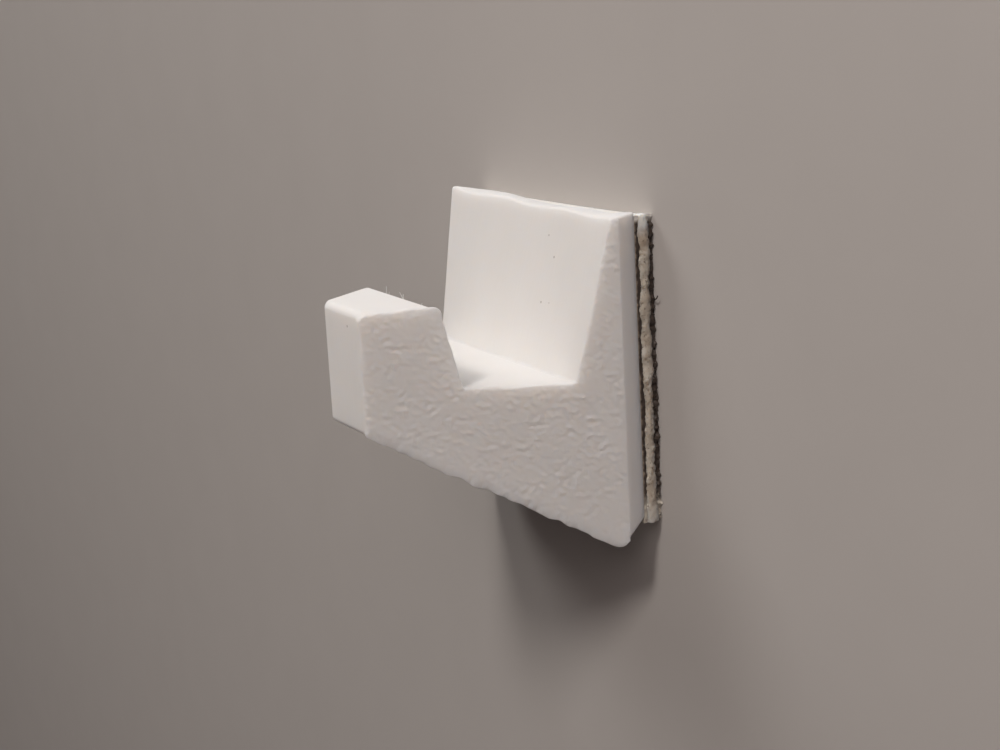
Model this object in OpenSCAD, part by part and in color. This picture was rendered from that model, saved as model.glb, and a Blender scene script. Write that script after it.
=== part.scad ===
// Adhesive wall hook: a hook made in one piece, held to a wall by a square of
// double-sided foam tape. Sizes are in millimetres. X runs along the wall, Y runs
// into it and Z is up. The origin is the centre of the tape's wall side.
// The heel is the line where the sloping underside would meet the slab's front plane.
// Heights are counted from the heel, and depths from the plate's back face.

/* [Plate] */
// Width of the plate where it meets the tape
plate_w = 25; // [18:0.5:40]
// Height of the plate from the heel to its top edge
plate_h = 25; // [22:0.5:40]
// Thickness of the straight-sided slab at the back of the plate
slab_t = 1.35; // [1.2:0.05:2.5]
// Thickness of the plate at its top edge
plate_top_t = 1.8; // [1.6:0.1:4]
// Thickness of the plate where its front face meets the seat
plate_seat_t = 4.35; // [3:0.05:7]

/* [Arm and tip] */
// Height of the seat above the heel
seat_h = 13.1; // [10:0.1:16]
// Length of the level seat
seat_l = 7.25; // [5:0.05:14]
// Height of the tip above the seat
tip_h = 6.1; // [3:0.1:9]
// How far the inner face of the tip leans forward over that height
tip_lean = 1.25; // [0:0.05:3]
// Thickness of the tip at its top
tip_t = 5.25; // [3:0.05:8]
// Width of the tip at its front face
tip_w = 6.2; // [4:0.1:14]
// Height of the front face of the tip
nose_h = 9.25; // [6:0.05:14]

/* [Heel relief] */
// Height of the slanted cut where it leaves the back face
relief_h = 2.2; // [1:0.1:5]
// Slope of that cut, in degrees from level
relief_angle = 45; // [30:1:60]

/* [Edges] */
// Radius of the rounded edges that run across the hook
edge_r = 0.75; // [0.3:0.05:0.9]
// Radius of the rounded upright edges of the slab and the tip
upright_r = 0.4; // [0.2:0.05:1]

/* [Tape] */
// Height of the lower edge of the tape above the heel
tape_foot = 2; // [0:0.1:6]
// Thickness of the foam
foam_t = 0.95; // [0.5:0.05:3]
// Thickness of each layer of adhesive
adhesive_t = 0.3; // [0.1:0.05:0.5]

/* [Hidden] */
$fn = 48;

// How far outlines run on past the faces that trim them
overrun = 1;

tape_h = plate_h - tape_foot;
tape_t = foam_t + 2 * adhesive_t;
heel_z = -(tape_foot + tape_h / 2);

// Depths of the seat's front end, of the tip's top corners and of the front face
seat_end_d = plate_seat_t + seat_l;
tip_back_d = seat_end_d + tip_lean;
reach_d = tip_back_d + tip_t;

// Heights of the tip's top and of the lower end of its front face
tip_top_z = seat_h + tip_h;
nose_z = tip_top_z - nose_h;

// The underside rises from the heel to the nose, and the relief cuts off its back corner
under_slope = nose_z / (reach_d - slab_t);
relief_slope = tan(relief_angle);
relief_end_d = (relief_h + under_slope * slab_t) / (under_slope + relief_slope);
relief_end_z = relief_h - relief_slope * relief_end_d;

// Rounds the outer corners of the outline given as a child and leaves its inner ones sharp
module round_corners(radius) {
    offset(r = radius)
    offset(delta = -radius)
    children();
}

// Outline seen from the side, run on past the back face
module side_outline() {
    round_corners(edge_r)
    polygon([
        [overrun, relief_h + relief_slope * overrun],
        [overrun, plate_h],
        [-plate_top_t, plate_h],
        [-plate_seat_t, seat_h],
        [-seat_end_d, seat_h],
        [-tip_back_d, tip_top_z],
        [-reach_d, tip_top_z],
        [-reach_d, nose_z],
        [-relief_end_d, relief_end_z]
    ]);
}

// Outline seen from above: the slab, then both sides drawn in to the tip. It is trimmed
// at the back face, so that the plate's back edges stay sharp against the tape.
module plan_outline() {
    intersection() {
        round_corners(upright_r)
        polygon([
            [-plate_w / 2, overrun],
            [plate_w / 2, overrun],
            [plate_w / 2, -slab_t],
            [tip_w / 2, -reach_d],
            [-tip_w / 2, -reach_d],
            [-plate_w / 2, -slab_t]
        ]);

        translate([-plate_w / 2 - overrun, -reach_d - overrun])
        square([plate_w + 2 * overrun, reach_d + overrun]);
    }
}

module hook_body() {
    color("white")
    translate([0, -tape_t, heel_z])
    intersection() {
        rotate([90, 0, 90])
        linear_extrude(plate_w + 2 * overrun, center = true)
        side_outline();

        translate([0, 0, -overrun])
        linear_extrude(plate_h + 2 * overrun)
        plan_outline();
    }
}

// One flat layer of the tape, from its wall side at wall_y towards the plate
module tape_layer(wall_y, thickness) {
    translate([-plate_w / 2, wall_y - thickness, -tape_h / 2])
    cube([plate_w, thickness, tape_h]);
}

module front_adhesive() {
    color([0.24, 0.21, 0.19])
    tape_layer(-(adhesive_t + foam_t), adhesive_t);
}

module foam_core() {
    color([0.62, 0.57, 0.51])
    tape_layer(-adhesive_t, foam_t);
}

module wall_adhesive() {
    color([0.24, 0.21, 0.19])
    tape_layer(0, adhesive_t);
}

hook_body();
front_adhesive();
foam_core();
wall_adhesive();
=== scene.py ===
import math
import random

import bmesh
import bpy
from mathutils import Matrix, Vector, noise


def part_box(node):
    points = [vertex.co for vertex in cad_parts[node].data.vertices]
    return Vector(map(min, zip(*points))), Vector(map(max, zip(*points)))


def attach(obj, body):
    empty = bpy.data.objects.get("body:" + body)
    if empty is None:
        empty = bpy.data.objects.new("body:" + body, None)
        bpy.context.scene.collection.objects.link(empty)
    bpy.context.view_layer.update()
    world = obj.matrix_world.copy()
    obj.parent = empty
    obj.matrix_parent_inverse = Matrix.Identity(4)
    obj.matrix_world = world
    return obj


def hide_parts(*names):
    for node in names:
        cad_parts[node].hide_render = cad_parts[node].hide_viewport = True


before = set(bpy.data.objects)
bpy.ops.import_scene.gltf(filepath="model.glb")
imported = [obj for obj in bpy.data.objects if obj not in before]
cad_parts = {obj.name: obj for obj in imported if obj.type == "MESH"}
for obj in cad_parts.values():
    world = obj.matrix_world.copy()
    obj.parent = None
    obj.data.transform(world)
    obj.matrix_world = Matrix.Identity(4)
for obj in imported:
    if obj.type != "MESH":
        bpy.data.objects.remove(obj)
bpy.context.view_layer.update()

MM = 0.001
ACROSS = Vector((1, 0, 0))
BACKWARD = Vector((0, 1, 0))
UP = Vector((0, 0, 1))

# Camera, fitted to the photograph's frame of 1000 by 750
CAMERA_AT = Vector((125.58, -75.37, 32.98)) * MM
CAMERA_AIM = Vector((2.73, -7.90, -0.95)) * MM
CAMERA_ROLL = math.radians(-3.09)
LENS = 67.65
SENSOR_W = 36
NEAREST = 1 * MM
FARTHEST = 10

# Main sizes of the hook. Depths run forward from the plate's back face, heights up from the heel.
body_low, body_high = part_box("hook_body")
BACK_Y = body_high.y
REACH_D = BACK_Y - body_low.y
PLATE_W = body_high.x - body_low.x
PLATE_H = 25 * MM
HEEL_Z = body_high.z - PLATE_H
SLAB_T = 1.35 * MM
PLATE_TOP_T = 1.8 * MM
PLATE_SEAT_T = 4.35 * MM
SEAT_H = 13.1 * MM
SEAT_L = 7.25 * MM
TIP_H = 6.1 * MM
TIP_LEAN = 1.25 * MM
TIP_W = 6.2 * MM
NOSE_H = 9.25 * MM
RELIEF_H = 2.2 * MM
RELIEF_SLOPE = 1
OVERRUN = 1 * MM

# Corner radii of the side outline
TOP_R = 0.28 * MM
SEAT_R = 0.2 * MM
TIP_BACK_R = 0.6 * MM
TIP_FRONT_R = 0.6 * MM
NOSE_R = 0.45 * MM
HEEL_R = 0.42 * MM
CORNER_STEPS = 6

# Rounded rims of the bed side, which lay on the printer's bed, and of the far side
BED_EDGE_R = 0.16 * MM
FAR_EDGE_R = 0.4 * MM
EDGE_STEPS = 4

# The whole rim of the bed side ripples. Along the underside it is square, with a lip that the
# first layers squeezed out and that is wider round the heel. A narrow lip stands over the slab.
RIM_RIPPLE = 0.2 * MM
RIM_TILT = 0.05
LIP_W = 0.2 * MM
LIP_END = 0.62 * MM
LIP_ROWS = 4
LIP_WANDER = 0.5
LIP_GRAIN = 1 * MM
LIP_FADE = 0.15 * MM
LIP_FROM = 0.2
LIP_FULL = 0.8
HEEL_LIP = 0.5
HEEL_LIP_REACH = 1.4 * MM
SLAB_LIP_W = 0.09 * MM
SLAB_LIP_FOOT = 0.14 * MM

# Rim along the tip's top: it stands up at the back and sags towards the front. The shares are of
# the tip's thickness.
TIP_RISE = 0.2 * MM
TIP_SAG = 0.2 * MM
TIP_RIM_H = 1.2 * MM
TIP_RISE_SHARE = 0.7
TIP_BEHIND_SHARE = 1

# Pebbled skin of the bed side: patchy, calmer near the heel, and faded out at the rim. Octaves
# hold the roughness, the step in scale and the count of the layers of a noise.
SKIN_CELL = 0.13 * MM
SKIN_FADE = 0.16 * MM
SKIN_LENGTH = 0.43 * MM
SKIN_WIDTH = 0.33 * MM
SKIN_HEIGHT = 0.06 * MM
SKIN_OCTAVES = (0.9, 2, 2)
SKIN_PATCH = 1.1 * MM
SKIN_PATCHY = 1.4
SKIN_LEAST = 0.15
SKIN_CALM = 9 * MM
SKIN_CALM_SHARE = 0.65

# Slow waves of the plate's top. Each edge has a middle level, a height of its waves, their length
# and the place of a crest. Over the last stretch before the bed side both edges rise instead.
WAVE_COLUMN = 0.8 * MM
WAVE_FADE = 2.4 * MM
WAVE_ROWS = 4
BACK_WAVE = (-0.06 * MM, 0.1 * MM, 14 * MM, -6.5 * MM)
FRONT_WAVE = (0.12 * MM, 0.1 * MM, 9.5 * MM, -3.5 * MM)
WAVE_MIDDLE = 4 * MM
NEAR_STRETCH = 4 * MM
NEAR_BACK_RISE = 0.42 * MM
NEAR_FRONT_RISE = 0.2 * MM

# Tape: ragged foam with open pores between two layers of ragged glue. Its top edge drops away from
# the near end, and its foot hangs a little low. Each seam has its own place in the noise.
TAPE_CELL = 0.1 * MM
TAPE_BORDER = 0.4 * MM
TAPE_SLANT = 0.78 * MM
TAPE_RISE = 0.16 * MM
TAPE_HANG = 0.2 * MM
RAGGED_OCTAVES = (0.7, 2, 3)
FOAM_GRAIN = 0.7 * MM
FOAM_RAGGED = 0.07 * MM
PORE_SPACING = 0.28 * MM
PORE_DEPTH = 0.07 * MM
PORE_SHARES = (0.1, 0.5)
FOAM_BULGE = 0.12 * MM
GLUE_GRAIN = 0.45 * MM
FRONT_GLUE_RAGGED = 0.1 * MM
FRONT_GLUE_RECESS = 0.03 * MM
WALL_GLUE_RAGGED = 0.28 * MM
WALL_GLUE_RECESS = 0.02 * MM
GLUE_FLUSH = 0.5 * MM
SEAM_GRAIN = 1.3 * MM
SEAM_WANDER = 0.2 * MM
SEAM_FRAY_GRAIN = 0.3 * MM
SEAM_FRAY = 0.1 * MM
FRONT_SEAM = 11
FRONT_SEAM_SHIFT = 0.03 * MM
WALL_SEAM = 37
WALL_SEAM_SHIFT = -0.05 * MM

# Fine strings of plastic on the tip, loose fibres on the tape and a thread of its glue
STRAND_SIDES = 4
STRAND_STEPS = 6
STRING_R = 0.018 * MM
STRING_ROOT = 0.35 * MM
STRING_SINK = 0.0875 * MM
FIBRE_R = 0.016 * MM
FIBRE_COUNT = 26
FIBRE_SEED = 5
FIBRE_LENGTHS = (0.25 * MM, 0.6 * MM)
FIBRE_BEND = 2
FIBRE_SPREAD = 0.5
FIBRE_FOOT_SHARE = 0.5
THREAD_R = 0.06 * MM
THREAD_H = 19.1 * MM
THREAD_LENGTH = 1.1 * MM
THREAD_HEADING = Vector((0.7, 0, -0.7))
THREAD_BEND = -2.2

# Limits for cutting, for finding faces by their normals, and for smooth shading
CUT_SNAP = 1e-7
FACING = 0.5
STRIP_LIMIT = 0.9
SQUARE_ON = 0.95
SHARP_TURN = math.radians(40)
NORMAL_WEIGHT = 100

# Sizes worked out from those above
SEAT_END_D = PLATE_SEAT_T + SEAT_L
TIP_BACK_D = SEAT_END_D + TIP_LEAN
TIP_TOP_H = SEAT_H + TIP_H
NOSE_BOTTOM_H = TIP_TOP_H - NOSE_H
SLAB_Y = BACK_Y - SLAB_T
TOP_Z = HEEL_Z + PLATE_H
UNDER_SLOPE = NOSE_BOTTOM_H / (REACH_D - SLAB_T)
RELIEF_END_D = (RELIEF_H + UNDER_SLOPE * SLAB_T) / (UNDER_SLOPE + RELIEF_SLOPE)
RELIEF_END_H = RELIEF_H - RELIEF_SLOPE * RELIEF_END_D
TAPER = (PLATE_W - TIP_W) / 2 / (REACH_D - SLAB_T)

# The bed side is the tapered side towards +X, the near one in the photograph. BED_OUT points out
# of it, and BED_ALONG runs back along it.
BED_OUT = Vector((1, -TAPER, 0)).normalized()
BED_ALONG = Vector((TAPER, 1, 0)).normalized()
BED_CORNER = Vector((PLATE_W / 2, SLAB_Y, HEEL_Z))


# Small helpers

def smoothstep(low, high, value):
    share = min(max((value - low) / (high - low), 0), 1)
    return share * share * (3 - 2 * share)


def below_bed(point):
    """How far a point lies below the plane of the bed side."""
    return (BED_CORNER - point).dot(BED_OUT)


def hook_point(across, depth, height):
    """Place of a point that is given by the hook's own depths and heights."""
    return Vector((across, BACK_Y - depth, HEEL_Z + height))


def half_width(depth):
    """Half of the hook's width at a depth."""
    return PLATE_W / 2 - TAPER * max(depth - SLAB_T, 0)


def made_of(kind, made):
    """The items of one kind, such as faces, that an operator returned."""
    return [item for item in made if isinstance(item, kind)]


def cut(bm, faces, point, normal):
    """Cuts faces along a plane, and returns those on the side that the normal points to."""
    edges = dict.fromkeys(edge for face in faces for edge in face.edges)
    verts = dict.fromkeys(vert for face in faces for vert in face.verts)
    made = bmesh.ops.bisect_plane(
        bm, geom=[*verts, *edges, *faces], dist=CUT_SNAP, plane_co=point, plane_no=normal
    )
    halves = made_of(bmesh.types.BMFace, made["geom"])
    return [face for face in halves if (face.calc_center_median() - point).dot(normal) > 0]


def cut_rows(bm, faces, start, end, direction, spacing):
    """Cuts faces into rows across a direction, from a start to an end along it."""
    for row in range(1, math.floor((end - start) / spacing) + 1):
        faces = cut(bm, faces, direction * (start + row * spacing), direction)


def finish_mesh(bm, name, material):
    """Makes the bmesh a smooth piece that rides on the part's one body."""
    bmesh.ops.recalc_face_normals(bm, faces=bm.faces[:])
    for edge in bm.edges:
        edge.smooth = edge.calc_face_angle(0) < SHARP_TURN
    mesh = bpy.data.meshes.new(name)
    bm.to_mesh(mesh)
    bm.free()
    mesh.polygons.foreach_set("use_smooth", [True] * len(mesh.polygons))
    mesh.materials.append(material)
    piece = bpy.data.objects.new(name, mesh)
    bpy.context.scene.collection.objects.link(piece)
    even = piece.modifiers.new("even_normals", "WEIGHTED_NORMAL")
    even.weight = NORMAL_WEIGHT
    even.keep_sharp = True
    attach(piece, "root")
    return piece


# Shader maths

class Shade:
    """A number in a node tree. Python's operators on it add Math nodes."""

    def __init__(self, nodes, socket):
        self.nodes = nodes
        self.socket = socket

    def math(self, operation, first, second=0):
        node = self.nodes.node("Math", {"operation": operation}, {0: first, 1: second})
        return Shade(self.nodes, node.outputs[0])

    def __add__(self, other):
        return self.math("ADD", self, other)

    def __radd__(self, other):
        return self.math("ADD", other, self)

    def __sub__(self, other):
        return self.math("SUBTRACT", self, other)

    def __rsub__(self, other):
        return self.math("SUBTRACT", other, self)

    def __mul__(self, other):
        return self.math("MULTIPLY", self, other)

    def __rmul__(self, other):
        return self.math("MULTIPLY", other, self)

    def __truediv__(self, other):
        return self.math("DIVIDE", self, other)

    def __rtruediv__(self, other):
        return self.math("DIVIDE", other, self)

    def __abs__(self):
        return self.math("ABSOLUTE", self)

    def smaller(self, other):
        return self.math("MINIMUM", self, other)

    def larger(self, other):
        return self.math("MAXIMUM", self, other)

    def root(self):
        return self.math("SQRT", self)

    def sine(self):
        return self.math("SINE", self)

    def ramp(self, low, high):
        """0 up to low, 1 from high on, and straight between them."""
        return ((self - low) / (high - low)).larger(0).smaller(1)


class Nodes:
    """A node tree while it is put together."""

    def __init__(self, tree):
        self.tree = tree

    def node(self, kind, settings=None, sockets=None):
        """Adds a node, then its settings, then the values or links of its sockets."""
        made = self.tree.nodes.new("ShaderNode" + kind)
        for name, value in (settings or {}).items():
            setattr(made, name, value)
        for name, value in (sockets or {}).items():
            self.feed(made.inputs[name], value)
        return made

    def feed(self, socket, value):
        if isinstance(value, Shade):
            value = value.socket
        if isinstance(value, bpy.types.NodeSocket):
            self.tree.links.new(value, socket)
        else:
            socket.default_value = value


class Finish(Nodes):
    """A material's node tree, with patterns that lie on the piece."""

    def __init__(self, name):
        self.material = bpy.data.materials.new(name)
        self.material.use_nodes = True
        super().__init__(self.material.node_tree)
        self.shader = self.tree.nodes["Principled BSDF"]
        self.place = self.node("TexCoord").outputs["Object"]

    def noise(self, size, detail=2):
        """Noise about 0 to 1, with features of a size given in metres."""
        sockets = {"Vector": self.place, "Scale": 1 / size, "Detail": detail}
        return Shade(self, self.node("TexNoise", {}, sockets).outputs["Fac"])

    def stripes(self, direction, size):
        """Noise that changes only along one direction."""
        sockets = {"W": self.along(direction), "Scale": 1 / size}
        return Shade(self, self.node("TexNoise", {"noise_dimensions": "1D"}, sockets).outputs["Fac"])

    def along(self, direction):
        """Distance from the origin along a direction, in metres."""
        made = self.node("VectorMath", {"operation": "DOT_PRODUCT"}, {0: self.place, 1: direction})
        return Shade(self, made.outputs["Value"])

    def speck(self, point, radius):
        """A soft-edged spot round a point, 1 at its middle."""
        made = self.node("VectorMath", {"operation": "DISTANCE"}, {0: self.place, 1: point})
        return 1 - Shade(self, made.outputs["Value"]).ramp(radius / 2, radius)

    def mix(self, share, first, second):
        """A colour between two, by a share from 0 to 1."""
        made = self.node("Mix", {"data_type": "RGBA"}, {0: share, 6: first, 7: second})
        return made.outputs[2]

    def bump(self, height, distance):
        """Tilts the surface by a height from 0 to 1 that stands for a distance in metres."""
        made = self.node("Bump", {}, {"Height": height, "Distance": distance})
        self.set(normal=made.outputs["Normal"])

    def glow(self, share, depth):
        """Lets a share of the light in, to about a depth in metres."""
        self.set(subsurface_weight=share, subsurface_radius=GLOW_TINT, subsurface_scale=depth)

    def set(self, **values):
        for name, value in values.items():
            self.feed(self.shader.inputs[name.replace("_", " ").title()], value)


def colour(red, green, blue):
    """A colour given as it looks on screen, from 0 to 255, made linear."""
    parts = [value / 255 for value in (red, green, blue)]
    return [p / 12.92 if p <= 0.04045 else ((p + 0.055) / 1.055) ** 2.4 for p in parts] + [1]


# Finishes

NOISE_MIDDLE = 0.5
FINE_DETAIL = 3
GLOW_TINT = (1, 0.9, 0.8)

PLASTIC_PALE = colour(231, 229, 227)
PLASTIC_DULL = colour(224, 222, 219)
PLASTIC_SPECK = colour(120, 108, 98)
CLOUD_SIZE = 6 * MM
LAYER_T = 0.2 * MM
LAYER_TONE = 0.35
LAYER_RELIEF = 0.15
GRAIN_SIZE = 0.18 * MM
GRAIN_HEIGHT = 0.003 * MM
PLASTIC_ROUGH = 0.5
PLASTIC_ROUGH_SPREAD = 0.12
PLASTIC_SHINE = 0.3
PLASTIC_GLOW = 0.7
PLASTIC_GLOW_DEPTH = 2 * MM

# Dark specks on the plate's front and on the nose: across, height and radius
PLATE_SPECKS = (
    (4.1 * MM, 23.05 * MM, 0.1 * MM),
    (5.25 * MM, 21.55 * MM, 0.12 * MM),
    (4.25 * MM, 18.05 * MM, 0.12 * MM),
    (5.4 * MM, 18.15 * MM, 0.07 * MM),
)
NOSE_SPECK = (1.1 * MM, 17.9 * MM, 0.12 * MM)
SPECK_DEPTH = 0.55

FOAM_PALE = colour(222, 213, 198)
FOAM_DULL = colour(192, 180, 163)
TAPE_TOP_WHITE = colour(240, 237, 230)
FOAM_BROWN = colour(176, 152, 128)
# Painted shade for the hollows of the foam's pores
FOAM_PORE_SHADE = colour(150, 137, 120)
FOAM_FOOT = colour(226, 220, 208)
FOAM_BLOTCH = 1.2 * MM
FOAM_BLOTCH_RAMP = (0.35, 0.65)
FOAM_PORE_SIZE = 0.22 * MM
FOAM_PORE_SHADE_RAMP = (0.3, 0.42)
FOAM_PORE_HEIGHT = 0.03 * MM
FOAM_ROUGH = 0.9
FOAM_GLOW = 1
FOAM_GLOW_DEPTH = 0.8 * MM
WHITE_TOP_FROM = 0.8 * MM
WHITE_TOP_TO = 1.7 * MM
BROWN_TO = 3 * MM
FOOT_FROM = 0.4 * MM
FOOT_TO = 1.2 * MM

GLUE_FILM = colour(208, 201, 188)
GLUE_WET = colour(192, 184, 169)
# Dark and brown stand for grime and for painted shade in the gaps along the glue's open edges
GLUE_DARK = colour(34, 27, 23)
GLUE_BROWN = colour(72, 58, 48)
GLUE_SMEAR = 0.5 * MM
GLUE_PATCH = 4 * MM
GLUE_PATCH_RAMP = (0.4, 0.6)
GLUE_RELIEF = 0.03 * MM
GLUE_ROUGH = 0.35
GLUE_ROUGH_SPREAD = 0.35
GRIME_SHADE_FROM = 0.15 * MM
GRIME_SHADE_TO = 0.55 * MM
GRIME_SHADE_TOP_FROM = 0.25 * MM
GRIME_SHADE_TOP_TO = 0.6 * MM
GRIME_SHADE_FOOT_FROM = 1.1 * MM
GRIME_SHADE_FOOT_TO = 2.1 * MM
GLUE_CLEAN = 0.03 * MM
GLUE_SEEP = 0.28 * MM
GLUE_SEEP_RAMP = (0, 0.4)
GLUE_OCHRE = colour(168, 152, 134)

tape_low, tape_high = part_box("foam_core")


def plate_front(across, height):
    """Point on the plate's front face."""
    share = (PLATE_H - height) / (PLATE_H - SEAT_H)
    return hook_point(across, PLATE_TOP_T + (PLATE_SEAT_T - PLATE_TOP_T) * share, height)


def white_plastic():
    finish = Finish("white_plastic")
    tone = finish.noise(CLOUD_SIZE) + LAYER_TONE * (finish.stripes(BED_OUT, LAYER_T) - NOISE_MIDDLE)
    base = finish.mix(tone.ramp(0, 1), PLASTIC_DULL, PLASTIC_PALE)
    specks = finish.speck(hook_point(NOSE_SPECK[0], REACH_D, NOSE_SPECK[1]), NOSE_SPECK[2])
    for across, height, radius in PLATE_SPECKS:
        specks = specks.larger(finish.speck(plate_front(across, height), radius))
    base = finish.mix(specks * SPECK_DEPTH, base, PLASTIC_SPECK)
    grain = finish.noise(GRAIN_SIZE)
    layers = (finish.along(BED_OUT) * (2 * math.pi / LAYER_T)).sine()
    finish.bump(layers * LAYER_RELIEF + grain, GRAIN_HEIGHT)
    finish.set(base_color=base, roughness=PLASTIC_ROUGH + PLASTIC_ROUGH_SPREAD * grain)
    finish.feed(finish.shader.inputs["Specular IOR Level"], PLASTIC_SHINE)
    finish.glow(PLASTIC_GLOW, PLASTIC_GLOW_DEPTH)
    return finish.material


def below_tape_top(finish):
    """Distance down from the tape's top edge, which drops away from the near end."""
    from_near = (tape_high.x - finish.along(ACROSS)) / (tape_high.x - tape_low.x)
    return tape_high.z + TAPE_RISE - finish.along(UP) - from_near.larger(0).root() * TAPE_SLANT


def pale_foam():
    finish = Finish("pale_foam")
    blotch = finish.noise(FOAM_BLOTCH, FINE_DETAIL)
    pore = finish.noise(FOAM_PORE_SIZE)
    base = finish.mix(blotch.ramp(*FOAM_BLOTCH_RAMP), FOAM_DULL, FOAM_PALE)
    down = below_tape_top(finish)
    base = finish.mix((1 - down.ramp(WHITE_TOP_TO, BROWN_TO)) * blotch, base, FOAM_BROWN)
    # Painted shade in the hollows that the pore bump makes.
    base = finish.mix(1 - pore.ramp(*FOAM_PORE_SHADE_RAMP), base, FOAM_PORE_SHADE)
    # The foam turns white towards the tape's top edge.
    base = finish.mix(1 - down.ramp(WHITE_TOP_FROM, WHITE_TOP_TO), base, TAPE_TOP_WHITE)
    above_foot = finish.along(UP) - tape_low.z
    base = finish.mix(1 - above_foot.ramp(FOOT_FROM, FOOT_TO), base, FOAM_FOOT)
    finish.bump(pore, FOAM_PORE_HEIGHT)
    finish.set(base_color=base, roughness=FOAM_ROUGH)
    finish.glow(FOAM_GLOW, FOAM_GLOW_DEPTH)
    return finish.material


def stained_shaded_glue():
    """Pale tacky film, painted dark along its open edges for grime and for the shade in the gaps, but
    not along the top.
    """
    finish = Finish("stained_shaded_glue")
    smear = finish.noise(GLUE_SMEAR, FINE_DETAIL)
    patch = finish.noise(GLUE_PATCH, FINE_DETAIL)
    film = finish.mix(patch.ramp(*GLUE_PATCH_RAMP), GLUE_FILM, GLUE_WET)
    from_top = below_tape_top(finish).ramp(GRIME_SHADE_TOP_FROM, GRIME_SHADE_TOP_TO)
    # The glue film turns white towards the tape's top edge too.
    film = finish.mix(from_top, TAPE_TOP_WHITE, film)
    # Grime and painted gap shade along the open edges, turning ochre next to the plate.
    grime_and_shade = finish.mix(smear, GLUE_DARK, GLUE_BROWN)
    inside_x = tape_high.x - abs(finish.along(ACROSS))
    inside_z = tape_high.z - abs(finish.along(UP))
    covered = inside_x.smaller(inside_z).ramp(GRIME_SHADE_FROM, GRIME_SHADE_TO)
    from_foot = (finish.along(UP) - tape_low.z).ramp(GRIME_SHADE_FOOT_FROM, GRIME_SHADE_FOOT_TO)
    behind_plate = finish.along(BACKWARD) - (BACK_Y + GLUE_CLEAN)
    from_plate = (behind_plate / GLUE_SEEP - smear + NOISE_MIDDLE).ramp(*GLUE_SEEP_RAMP)
    grime_and_shade = finish.mix(from_plate, GLUE_OCHRE, grime_and_shade)
    base = finish.mix((1 - covered) * from_top * from_foot, film, grime_and_shade)
    finish.set(base_color=base, roughness=GLUE_ROUGH + GLUE_ROUGH_SPREAD * smear)
    finish.bump(smear, GLUE_RELIEF)
    return finish.material


# Hook

def hook_corners():
    """Depth, height and radius of each corner of the side outline, run on behind the back face."""
    return [
        (-OVERRUN, RELIEF_H + RELIEF_SLOPE * OVERRUN, 0),
        (-OVERRUN, PLATE_H, 0),
        (PLATE_TOP_T, PLATE_H, TOP_R),
        (PLATE_SEAT_T, SEAT_H, SEAT_R),
        (SEAT_END_D, SEAT_H, SEAT_R),
        (TIP_BACK_D, TIP_TOP_H, TIP_BACK_R),
        (REACH_D, TIP_TOP_H, TIP_FRONT_R),
        (REACH_D, NOSE_BOTTOM_H, NOSE_R),
        (RELIEF_END_D, RELIEF_END_H, HEEL_R),
    ]


def corner_angle(corners, index):
    """Angle between the two lines that meet at a corner."""
    here = Vector(corners[index][:2])
    before = Vector(corners[index - 1][:2])
    after = Vector(corners[(index + 1) % len(corners)][:2])
    return (before - here).angle(after - here)


def bevel(bm, geom, affect, offset, steps):
    bmesh.ops.bevel(
        bm,
        geom=geom,
        offset=offset,
        offset_type="OFFSET",
        affect=affect,
        segments=steps,
        profile=0.5,
        material=-1,
    )


def outline_face(bm):
    """Face of the side outline, with each corner rounded to its own radius."""
    corners = hook_corners()
    verts = [bm.verts.new(hook_point(PLATE_W / 2, depth, height)) for depth, height, radius in corners]
    bm.faces.new(verts)
    for index, vert in enumerate(verts):
        radius = corners[index][2]
        if radius:
            run = radius / math.tan(corner_angle(corners, index) / 2)
            bevel(bm, [vert], "VERTICES", run, CORNER_STEPS)
    return bm.faces[:]


def taper_sides(bm):
    """Draws both sides in towards the tip, from the slab's front plane on."""
    cut(bm, bm.faces[:], Vector((0, SLAB_Y, 0)), BACKWARD)
    for vert in bm.verts:
        vert.co.x *= half_width(BACK_Y - vert.co.y) / half_width(0)


def round_rim(bm, side, radius):
    """Rounds the edges all round one side: 1 is the bed side, -1 the far side."""
    def on_side(face):
        return face.normal.x * side > FACING

    bm.normal_update()
    rim = [edge for edge in bm.edges if sum(on_side(face) for face in edge.link_faces) == 1]
    bevel(bm, rim, "EDGES", radius, EDGE_STEPS)


def trim_back(bm):
    """Cuts the outline's overrun off at the back face, and closes that face."""
    geom = [*bm.verts, *bm.edges, *bm.faces]
    made = bmesh.ops.bisect_plane(
        bm,
        geom=geom,
        dist=CUT_SNAP,
        plane_co=Vector((0, BACK_Y, 0)),
        plane_no=BACKWARD,
        clear_outer=True,
    )
    bmesh.ops.edgeloop_fill(bm, edges=made_of(bmesh.types.BMEdge, made["geom_cut"]))


def wave_level(wave, across):
    """Height of a wavy edge above its straight line."""
    level, height, length, crest = wave
    return level + height * math.cos((across - crest) * 2 * math.pi / length)


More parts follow.
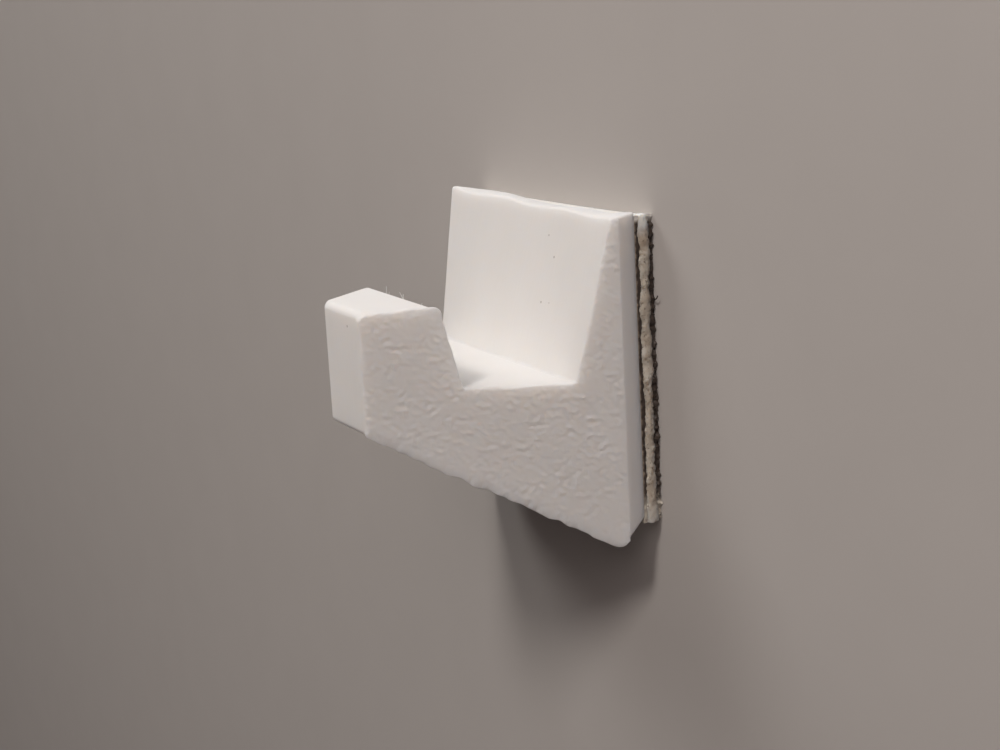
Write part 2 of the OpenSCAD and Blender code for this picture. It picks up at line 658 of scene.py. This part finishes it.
def wave_top_edge(bm):
    """Gives the plate's top edges their slow waves and their rise at the near end."""
    bm.normal_update()
    seat_z = HEEL_Z + SEAT_H
    plate_y = BACK_Y - PLATE_SEAT_T

    def broad(face):
        centre = face.calc_center_median()
        on_plate = centre.y > plate_y and centre.z > seat_z + SEAT_R
        return on_plate and abs(face.normal.x) < FACING and abs(centre.x) < WAVE_MIDDLE

    front_face = [face for face in bm.faces if broad(face) and face.normal.y < -FACING]
    cut_rows(bm, front_face, TOP_Z - WAVE_FADE, TOP_Z, UP, WAVE_FADE / WAVE_ROWS)
    strips = [face for face in bm.faces if broad(face) and face.normal.y < FACING]
    reach = PLATE_W / 2 - FAR_EDGE_R
    cut_rows(bm, strips, -reach, reach, ACROSS, WAVE_COLUMN)
    for vert in bm.verts:
        share = smoothstep(TOP_Z - WAVE_FADE, TOP_Z, vert.co.z)
        away = 1 - smoothstep(PLATE_W / 2 - NEAR_STRETCH, PLATE_W / 2, vert.co.x)
        forward = smoothstep(0, PLATE_TOP_T, BACK_Y - vert.co.y)
        back = wave_level(BACK_WAVE, vert.co.x) * away + NEAR_BACK_RISE * (1 - away)
        front = wave_level(FRONT_WAVE, vert.co.x) * away + NEAR_FRONT_RISE * (1 - away)
        vert.co.z += (back * (1 - forward) + front * forward) * share


def grid_bed_side(bm):
    """Cuts the bed side and its rim into a fine grid."""
    bm.normal_update()
    for row in range(1, LIP_ROWS + 1):
        depth = BED_EDGE_R + (LIP_END - BED_EDGE_R) * row / LIP_ROWS
        strips = [face for face in bm.faces if max(face.normal.x, face.normal.y) < STRIP_LIMIT]
        cut(bm, strips, BED_CORNER - BED_OUT * depth, BED_OUT)
    slab_side = [face for face in bm.faces if face.normal.x > SQUARE_ON]
    cut(bm, slab_side, Vector((0, SLAB_Y + SLAB_LIP_FOOT, 0)), BACKWARD)

    def near_bed(face):
        centre = face.calc_center_median()
        return below_bed(centre) < LIP_END and centre.y < SLAB_Y + SLAB_LIP_FOOT

    bed_end = BED_CORNER.dot(BED_ALONG)
    bed_start = bed_end - (REACH_D - SLAB_T) * math.hypot(1, TAPER) - LIP_END
    rows = [face for face in bm.faces if near_bed(face)]
    cut_rows(bm, rows, bed_start, bed_end, BED_ALONG, SKIN_CELL)
    columns = [face for face in bm.faces if near_bed(face)]
    cut_rows(bm, columns, HEEL_Z, TOP_Z, UP, SKIN_CELL)


def tip_lift(place):
    """How far the rim of the tip's top stands up at a place."""
    forward = (BACK_Y - place.y - TIP_BACK_D) / (REACH_D - TIP_BACK_D)
    if forward < -TIP_BEHIND_SHARE:
        return 0
    at_top = smoothstep(TIP_TOP_H - TIP_RIM_H, TIP_TOP_H, place.z - HEEL_Z)
    rise = TIP_RISE * (1 - smoothstep(0, TIP_RISE_SHARE, forward))
    return at_top * (rise - TIP_SAG * max(forward, 0) ** 2)


def rim_gap(below):
    """How far the rounded rim lies inside a square one, at a distance below the bed side."""
    rest = max(BED_EDGE_R - below, 0)
    return BED_EDGE_R - math.sqrt(max(BED_EDGE_R**2 - rest**2, 0))


def lip_width(place):
    """Width of the lip at a place. It is wider round the heel."""
    from_heel = (place - hook_point(place.x, RELIEF_END_D, RELIEF_END_H)).length
    return LIP_W * (1 + HEEL_LIP * (1 - smoothstep(0, HEEL_LIP_REACH, from_heel)))


def shape_bed_side(bm):
    """Ripples the rim of the bed side, swells its underside into a lip and pebbles the skin."""
    bm.normal_update()
    for vert in bm.verts:
        below = below_bed(vert.co)
        before_slab = SLAB_Y - vert.co.y
        if below > LIP_END or before_slab < -CUT_SNAP:
            continue
        place = vert.co.copy()
        wander = 1 + LIP_WANDER * noise.noise(place / LIP_GRAIN)
        fade = 1 - smoothstep(0, LIP_END, below)
        on_skin = 1 - smoothstep(0, SKIN_FADE, below)
        outward = vert.normal - BED_OUT * vert.normal.dot(BED_OUT)
        if outward.length > RIM_TILT:
            outward.normalize()
            swell = rim_gap(below) + lip_width(place) * fade * wander
            under = smoothstep(LIP_FROM, LIP_FULL, -outward.z)
            ripple = RIM_RIPPLE * (wander - 1) * fade
            vert.co += outward * ((swell * under + ripple) * smoothstep(0, LIP_FADE, before_slab))
        vert.co.z += tip_lift(place) * fade
        if before_slab < CUT_SNAP:
            vert.co += BED_ALONG * (SLAB_LIP_W * on_skin * wander)
        grain = Vector((place.dot(BED_ALONG) / SKIN_LENGTH, place.z / SKIN_WIDTH, 0))
        calm = SKIN_CALM_SHARE * (1 - smoothstep(0, SKIN_CALM, (place - BED_CORNER).length))
        patch = max(1 + SKIN_PATCHY * noise.noise(place / SKIN_PATCH), SKIN_LEAST)
        pebble = noise.fractal(grain, *SKIN_OCTAVES) * (1 - calm) * patch
        vert.co += BED_OUT * (SKIN_HEIGHT * pebble * on_skin * smoothstep(0, SKIN_FADE, before_slab))


def make_hook(material):
    bm = bmesh.new()
    made = bmesh.ops.extrude_face_region(bm, geom=outline_face(bm))
    bmesh.ops.translate(bm, verts=made_of(bmesh.types.BMVert, made["geom"]), vec=-ACROSS * PLATE_W)
    bmesh.ops.recalc_face_normals(bm, faces=bm.faces[:])
    taper_sides(bm)
    round_rim(bm, 1, BED_EDGE_R)
    round_rim(bm, -1, FAR_EDGE_R)
    trim_back(bm)
    wave_top_edge(bm)
    grid_bed_side(bm)
    shape_bed_side(bm)
    piece = finish_mesh(bm, "hook", material)
    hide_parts("hook_body")


# Tape

def seam_wander(point, seam, shift):
    """How far a seam between foam and glue strays from its plane at the tape's edge."""
    spot = Vector((point.x, seam * MM, point.z))
    fray = SEAM_FRAY * noise.noise(spot / SEAM_FRAY_GRAIN)
    return shift + SEAM_WANDER * noise.noise(spot / SEAM_GRAIN) + fray


def foam_edge(point):
    """Torn foam with open pores, which bulges between its two seams."""
    ragged = FOAM_RAGGED * noise.fractal(point / FOAM_GRAIN, *RAGGED_OCTAVES)
    nearest = noise.voronoi(point / PORE_SPACING)[0][0]
    to_wall = (point.y - tape_low.y) / (tape_high.y - tape_low.y)
    bulge = FOAM_BULGE * (1 - (2 * to_wall - 1) ** 2)
    return ragged + bulge - PORE_DEPTH * (1 - smoothstep(*PORE_SHARES, nearest))


def glue_edge(point, ragged, recess):
    """Glue that stands back from the foam or squeezes out in places, and is flush along the top."""
    lower = 1 - smoothstep(tape_high.z - GLUE_FLUSH, tape_high.z, point.z)
    return lower * (ragged * noise.fractal(point / GLUE_GRAIN, *RAGGED_OCTAVES) - recess)


def front_glue_edge(point):
    return glue_edge(point, FRONT_GLUE_RAGGED, FRONT_GLUE_RECESS)


def wall_glue_edge(point):
    return glue_edge(point, WALL_GLUE_RAGGED, WALL_GLUE_RECESS)


def make_layer(name, node, material, seams, edge_shape):
    """A layer of the tape with ragged edges. Its front seam and its wall seam stray, if it has them."""
    low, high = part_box(node)
    size = high - low
    bm = bmesh.new()
    place = Matrix.Translation((low + high) / 2) @ Matrix.Diagonal((*size, 1))
    bmesh.ops.create_cube(bm, size=1, matrix=place)
    bm.normal_update()
    broad = [face for face in bm.faces if abs(face.normal.y) > FACING]
    bmesh.ops.inset_individual(bm, faces=broad, thickness=TAPE_BORDER)

    def inside(point):
        return min(size.x / 2 - abs(point.x), size.z / 2 - abs(point.z))

    for direction in (ACROSS, UP, BACKWARD):
        border = [face for face in bm.faces if inside(face.calc_center_median()) < TAPE_BORDER]
        cut_rows(bm, border, low.dot(direction), high.dot(direction), direction, TAPE_CELL)
    bm.normal_update()
    for vert in bm.verts:
        spot = vert.co.copy()
        outward = Vector((vert.normal.x, 0, vert.normal.z))
        at_edge = 1 - smoothstep(0, TAPE_BORDER, inside(spot))
        to_wall = (spot.y - low.y) / size.y
        for seam, shift, share in zip(*seams, (1 - to_wall, to_wall)):
            if seam:
                vert.co.y += share * at_edge * seam_wander(spot, seam, shift)
        if inside(spot) < CUT_SNAP:
            vert.co += outward.normalized() * edge_shape(spot)
        rise = (spot.z - low.z) / size.z
        from_near = max(high.x - spot.x, 0) / size.x
        vert.co.z += rise * (TAPE_RISE - TAPE_SLANT * math.sqrt(from_near)) - TAPE_HANG * (1 - rise)
    piece = finish_mesh(bm, name, material)
    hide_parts(node)
    return piece


def make_tape(foam_material, glue_material):
    front = ((0, FRONT_SEAM), (0, FRONT_SEAM_SHIFT))
    middle = ((FRONT_SEAM, WALL_SEAM), (FRONT_SEAM_SHIFT, WALL_SEAM_SHIFT))
    wall = ((WALL_SEAM, 0), (WALL_SEAM_SHIFT, 0))
    make_layer("front_glue", "front_adhesive", glue_material, front, front_glue_edge)
    foam = make_layer("foam_pad", "foam_core", foam_material, middle, foam_edge)
    make_layer("wall_glue", "wall_adhesive", glue_material, wall, wall_glue_edge)


# Strings and fibres

def add_strand(bm, start, heading, length, radius, bend, axis):
    """A fine strand that leaves a point in a heading and bends about an axis as it goes."""
    turn = Matrix.Rotation(bend / STRAND_STEPS, 3, axis)
    square = heading.to_track_quat("Z", "Y").to_matrix().to_4x4()
    made = bmesh.ops.create_circle(
        bm,
        cap_ends=True,
        radius=radius,
        segments=STRAND_SIDES,
        matrix=Matrix.Translation(start) @ square,
    )
    end = made["verts"][0].link_faces[0]
    centre = start.copy()
    for _ in range(STRAND_STEPS):
        grown = bmesh.ops.extrude_face_region(bm, geom=[end])["geom"]
        ring = made_of(bmesh.types.BMVert, grown)
        end = made_of(bmesh.types.BMFace, grown)[0]
        step = heading * (length / STRAND_STEPS)
        bmesh.ops.translate(bm, verts=ring, vec=step)
        centre = centre + step
        bmesh.ops.rotate(bm, verts=ring, cent=centre, matrix=turn)
        heading = turn @ heading


# Strings on the tip's back edge: across, heading, length and bend
TIP_STRINGS = (
    (-2.2 * MM, Vector((0.1, 0.2, 1)), 0.75 * MM, 0.9),
    (-1.6 * MM, Vector((-0.5, 0.1, 1)), 0.4 * MM, -1.2),
    (0.7 * MM, Vector((-0.8, 0.2, 0.8)), 0.7 * MM, 0.9),
    (0.9 * MM, Vector((-0.4, -0.1, 1)), 0.55 * MM, -1.1),
    (3.6 * MM, Vector((0.3, 0.4, 0.6)), 0.3 * MM, 0.9),
)


def make_tip_strings(material):
    bm = bmesh.new()
    for across, heading, length, bend in TIP_STRINGS:
        start = hook_point(across, TIP_BACK_D + STRING_ROOT, TIP_TOP_H - STRING_SINK)
        heading = heading.normalized()
        add_strand(bm, start, heading, length, STRING_R, bend, heading.orthogonal())
    finish_mesh(bm, "tip_strings", material)


def make_tape_fibres(material):
    draw = random.Random(FIBRE_SEED)
    bm = bmesh.new()
    for _ in range(FIBRE_COUNT):
        depth = draw.uniform(tape_low.y, tape_high.y)
        if draw.random() < FIBRE_FOOT_SHARE:
            start = Vector((draw.uniform(tape_low.x, tape_high.x), depth, tape_low.z))
            out = -UP
        else:
            start = Vector((tape_high.x, depth, draw.uniform(tape_low.z, tape_high.z)))
            out = ACROSS
        spread = Vector((draw.gauss(0, 1), draw.gauss(0, 1), draw.gauss(0, 1)))
        heading = (out + spread * FIBRE_SPREAD).normalized()
        length = draw.uniform(*FIBRE_LENGTHS)
        bend = draw.uniform(-FIBRE_BEND, FIBRE_BEND)
        add_strand(bm, start - out * FOAM_RAGGED, heading, length, FIBRE_R, bend, heading.orthogonal())
    finish_mesh(bm, "tape_fibres", material)


def make_glue_thread(material):
    """A thread of glue drawn out of the wall side of the tape."""
    bm = bmesh.new()
    start = hook_point(tape_high.x, BACK_Y - tape_high.y, THREAD_H)
    add_strand(bm, start, THREAD_HEADING.normalized(), THREAD_LENGTH, THREAD_R, THREAD_BEND, BACKWARD)
    finish_mesh(bm, "glue_thread", material)


# Stage, lights and camera

WALL_GAP = 0.05 * MM
WALL_PAINT = colour(185, 180, 176)
PAINT_SPREAD = colour(189, 184, 180)
PAINT_GRAIN = 8 * MM
PAINT_ROUGH = 0.9
WALL_SIZE = 900 * MM
FLOOR_Z = -320 * MM
FLOOR_SIZE = 3000 * MM
FLOOR_GLOW = 0.85

LIGHT_AIM = hook_point(0, REACH_D / 2, PLATE_H / 2)

# Lamps: name, the way from the hook to the lamp, distance, size, share of full white, and tint
LAMPS = (
    ("key_light", Vector((0.45, -1, 1.29)), 420 * MM, 95 * MM, 0.455, (1, 0.94, 0.89)),
    ("side_light", Vector((-1.4, -1, 1.8)), 600 * MM, 270 * MM, 0.34, (1, 0.98, 0.95)),
    ("near_light", Vector((0.8, -0.5, 0.65)), 420 * MM, 260 * MM, 0.235, (1, 0.9, 0.87)),
    ("top_light", Vector((0.02, 0, 1)), 400 * MM, 260 * MM, 0.115, (0.74, 0.9, 1)),
    ("rear_light", Vector((-0.8, 0.6, 0.1)), 400 * MM, 300 * MM, 0.35, (1, 1, 1)),
    ("fill_light", Vector((-0.85, 0.3, -0.3)), 400 * MM, 300 * MM, 0.22, (1, 0.86, 0.82)),
)

# Light from all round: its level and the lean that makes it stronger from some ways
AMBIENT_TINT = (1, 0.82, 0.79, 1)
AMBIENT_LEVEL = 0.062
AMBIENT_LEAN = Vector((0.03, -0.02, 0.1))
AMBIENT_LEAST = 0.03


def stage_paint(name, glow):
    """Plain pale paint, seen only from its front. Its glow keeps it pale where no lamp reaches."""
    finish = Finish(name)
    base = finish.mix(finish.noise(PAINT_GRAIN), WALL_PAINT, PAINT_SPREAD)
    finish.set(base_color=base, roughness=PAINT_ROUGH, emission_color=base, emission_strength=glow)
    finish.feed(finish.shader.inputs["Specular IOR Level"], 0)
    clear = finish.node("BsdfTransparent").outputs[0]
    behind = finish.node("NewGeometry").outputs["Backfacing"]
    shown = finish.node("MixShader", {}, {0: behind, 1: finish.shader.outputs[0], 2: clear})
    finish.feed(finish.tree.nodes["Material Output"].inputs["Surface"], shown.outputs[0])
    return finish.material


def add_sheet(name, size, place, turn, material):
    """A flat sheet of the stage. It takes the hook's shadow, but throws no shadow or diffuse light."""
    bm = bmesh.new()
    matrix = Matrix.Translation(place) @ turn
    bmesh.ops.create_grid(bm, x_segments=1, y_segments=1, size=size / 2, matrix=matrix)
    mesh = bpy.data.meshes.new(name)
    bm.to_mesh(mesh)
    bm.free()
    mesh.materials.append(material)
    sheet = bpy.data.objects.new(name, mesh)
    bpy.context.scene.collection.objects.link(sheet)
    sheet.visible_diffuse = False
    sheet.visible_shadow = False


def make_stage():
    upright = Matrix.Rotation(math.radians(90), 4, "X")
    add_sheet("wall", WALL_SIZE, (0, WALL_GAP, 0), upright, stage_paint("wall_paint", 0))
    level = Matrix.Identity(4)
    add_sheet("floor", FLOOR_SIZE, (0, 0, FLOOR_Z), level, stage_paint("floor_paint", FLOOR_GLOW))


def add_light(name, way, distance, size, share, tint):
    """Soft round lamp aimed at the hook. A share of 1 lights a white face to full white."""
    lamp = bpy.data.lights.new(name, "AREA")
    lamp.shape = "DISK"
    lamp.size = size
    lamp.color = tint
    lamp.energy = share * math.pi**2 * distance**2
    holder = bpy.data.objects.new(name, lamp)
    way = way.normalized()
    turn = way.to_track_quat("Z", "Y").to_matrix().to_4x4()
    holder.matrix_world = Matrix.Translation(LIGHT_AIM + way * distance) @ turn
    bpy.context.scene.collection.objects.link(holder)


def make_sky():
    """Faint light from all round, stronger from above, and a plain pale backdrop."""
    world = bpy.data.worlds.new("studio")
    world.use_nodes = True
    sky = Nodes(world.node_tree)
    way = sky.node("TexCoord").outputs["Generated"]
    lean = sky.node("VectorMath", {"operation": "DOT_PRODUCT"}, {0: way, 1: AMBIENT_LEAN})
    strength = (Shade(sky, lean.outputs["Value"]) + AMBIENT_LEVEL).larger(AMBIENT_LEAST)
    light = sky.node("Background", {}, {"Color": AMBIENT_TINT, "Strength": strength})
    backdrop = sky.node("Background", {}, {"Color": WALL_PAINT})
    path = sky.node("LightPath").outputs
    glossy = Shade(sky, path["Is Glossy Ray"])
    seen = glossy.larger(path["Is Camera Ray"]).larger(path["Is Transmission Ray"])
    shown = sky.node("MixShader", {}, {0: seen, 1: light.outputs[0], 2: backdrop.outputs[0]})
    sky.feed(sky.tree.nodes["World Output"].inputs["Surface"], shown.outputs[0])
    bpy.context.scene.world = world


def make_camera():
    lens = bpy.data.cameras.new("camera")
    lens.lens = LENS
    lens.sensor_width = SENSOR_W
    lens.sensor_fit = "HORIZONTAL"
    lens.clip_start = NEAREST
    lens.clip_end = FARTHEST
    holder = bpy.data.objects.new("camera", lens)
    turn = (CAMERA_AT - CAMERA_AIM).to_track_quat("Z", "Y").to_matrix().to_4x4()
    roll = Matrix.Rotation(CAMERA_ROLL, 4, "Z")
    holder.matrix_world = Matrix.Translation(CAMERA_AT) @ turn @ roll
    bpy.context.scene.collection.objects.link(holder)
    bpy.context.scene.camera = holder


make_camera()
make_stage()
for lamp in LAMPS:
    add_light(*lamp)
make_sky()

plastic = white_plastic()
foam = pale_foam()
glue = stained_shaded_glue()
make_hook(plastic)
make_tip_strings(plastic)
make_tape(foam, glue)
make_tape_fibres(foam)
make_glue_thread(glue)
bpy.context.scene.view_settings.view_transform = "Standard"
